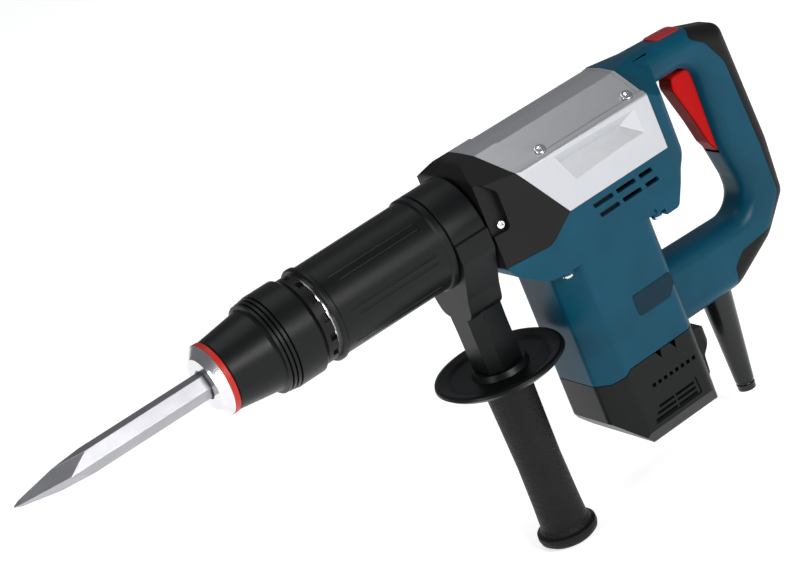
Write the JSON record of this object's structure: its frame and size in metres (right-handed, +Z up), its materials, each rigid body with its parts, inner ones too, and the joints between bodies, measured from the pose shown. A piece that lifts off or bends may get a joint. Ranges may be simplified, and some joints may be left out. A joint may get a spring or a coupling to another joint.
{
  "type": "electric demolition hammer",
  "caption": "Electric demolition hammer with hexagonal chisel, locking sleeve, vertical motor, closed rear handle with trigger, and a swivelling side handle with a hand guard.",
  "frame": {"origin": "mouth of the tool holder, on the hammer axis, at the front face of the nose cap", "axes": "+X runs from the chisel to the rear handle along the hammer axis; +Z is up, away from the motor; +Y is across the tool"},
  "size_m": [0.6305, 0.099, 0.299],
  "materials": {
    "tool_steel": "satin",
    "bearing_steel": "polished",
    "gear_steel": "oiled",
    "lamination": "stacked sheet",
    "winding_copper": "varnished",
    "screw_chrome": "bright",
    "bush_bronze": "plain",
    "barrel_metal": "satin",
    "cover_silver": "painted silver",
    "case_black": "painted black",
    "plastic_black": "fine texture",
    "plastic_blue": "fine texture",
    "plate_dark": "plain",
    "rubber_black": "pebbled",
    "switch_red": "smooth",
    "ring_red": "smooth",
    "carbon": "sintered"
  },
  "bodies": {
    "housing": {"tool_holder": "tool_steel", "nose_cap": "barrel_metal", "marker_ring": "ring_red", "retaining_roller": "tool_steel", "sleeve_spring": "tool_steel", "index_ring": "case_black", "barrel_tube": "barrel_metal", "barrel_sleeve": "plastic_black", "hammer_tube": "tool_steel", "guide_bush": "bush_bronze", "gear_case": "case_black", "gear_case_lid": "case_black", "crank_cover": "cover_silver", "cover_screws": "screw_chrome", "side_screws": "screw_chrome", "body_shell_left": "plastic_blue", "body_shell_right": "plastic_blue", "skirt_screws": "screw_chrome", "handle_screws": "screw_chrome", "handle_softgrip": "rubber_black", "switch_body": "plastic_black", "trigger_pin": "tool_steel", "cord_boot": "rubber_black", "motor_housing": "plastic_blue", "name_plate": "plate_dark", "motor_cap": "plastic_black", "air_grilles": "plastic_black", "stator_core": "lamination", "field_coils": "winding_copper", "upper_motor_bearing": "bearing_steel", "lower_motor_bearing": "bearing_steel", "bearing_bracket": "plastic_black", "brush_holders": "plastic_black", "carbon_brushes": "carbon", "crank_bearing": "bearing_steel"},
    "chisel": {"chisel": "tool_steel"},
    "locking_sleeve": {"locking_sleeve": "plastic_black"},
    "impact_bolt": {"impact_bolt": "tool_steel"},
    "striker": {"striker": "tool_steel", "striker_seal": "rubber_black"},
    "piston": {"piston": "tool_steel", "piston_seal": "rubber_black", "wrist_pin": "tool_steel"},
    "connecting_rod": {"connecting_rod": "gear_steel", "crank_pin": "tool_steel"},
    "crank": {"crank_shaft": "gear_steel", "crank_gear": "gear_steel"},
    "armature": {"armature_shaft": "gear_steel", "motor_pinion": "gear_steel", "armature_core": "lamination", "armature_windings": "winding_copper", "commutator": "winding_copper", "cooling_fan": "plastic_black"},
    "trigger": {"trigger": "switch_red"},
    "lock_button": {"lock_button": "switch_red"},
    "side_handle": {"clamp_strap": "plastic_black", "handle_stem": "plastic_black"},
    "side_grip": {"guard_disc": "plastic_black", "side_grip": "rubber_black", "tension_bolt": "tool_steel"}
  },
  "joints": [
    {"name": "chisel_slide", "type": "slide", "parent": "housing", "child": "chisel", "axis": [-1, 0, 0], "range_m": [0, 0.025]},
    {"name": "locking_sleeve_slide", "type": "slide", "parent": "housing", "child": "locking_sleeve", "axis": [1, 0, 0], "range_m": [0, 0.009], "stiffness_N_per_m": 1200, "springref_m": -0.006, "deforming": ["sleeve_spring"]},
    {"name": "impact_bolt_slide", "type": "slide", "parent": "housing", "child": "impact_bolt", "axis": [1, 0, 0], "range_m": [0, 0.005]},
    {"name": "striker_slide", "type": "slide", "parent": "housing", "child": "striker", "axis": [1, 0, 0], "range_m": [0, 0.006]},
    {"name": "piston_slide", "type": "slide", "parent": "housing", "child": "piston", "axis": [-1, 0, 0], "range_m": [0, 0.022]},
    {"name": "connecting_rod_swing", "type": "hinge", "parent": "piston", "child": "connecting_rod", "pos_m": [0.23575, 0, 0], "axis": [0, 0, 1], "range_deg": [-14.5, 14.5]},
    {"name": "armature_spin", "type": "hinge", "parent": "housing", "child": "armature", "pos_m": [0.305, 0, -0.1], "axis": [0, 0, 1], "continuous": true},
    {"name": "crank_spin", "type": "hinge", "parent": "housing", "child": "crank", "pos_m": [0.26875, 0, -0.027], "axis": [0, 0, 1], "continuous": true},
    {"name": "trigger_pull", "type": "hinge", "parent": "housing", "child": "trigger", "pos_m": [0.4405, 0, -0.057], "axis": [0, 1, 0], "range_deg": [0, 6], "stiffness_Nm_per_rad": 0.8, "springref_deg": -5.73},
    {"name": "lock_button_press", "type": "slide", "parent": "housing", "child": "lock_button", "axis": [0, 0, -1], "range_m": [0, 0.003], "stiffness_N_per_m": 400, "springref_m": -0.002},
    {"name": "side_handle_swivel", "type": "hinge", "parent": "housing", "child": "side_handle", "pos_m": [0.206, 0, 0], "axis": [1, 0, 0], "continuous": true},
    {"name": "side_grip_twist", "type": "hinge", "parent": "side_handle", "child": "side_grip", "pos_m": [0.207, 0, -0.18], "axis": [0, 0, 1], "continuous": true}
  ],
  "couplings": [
    {"joint": "crank_spin", "follows": "armature_spin", "ratio": -0.20833}
  ]
}
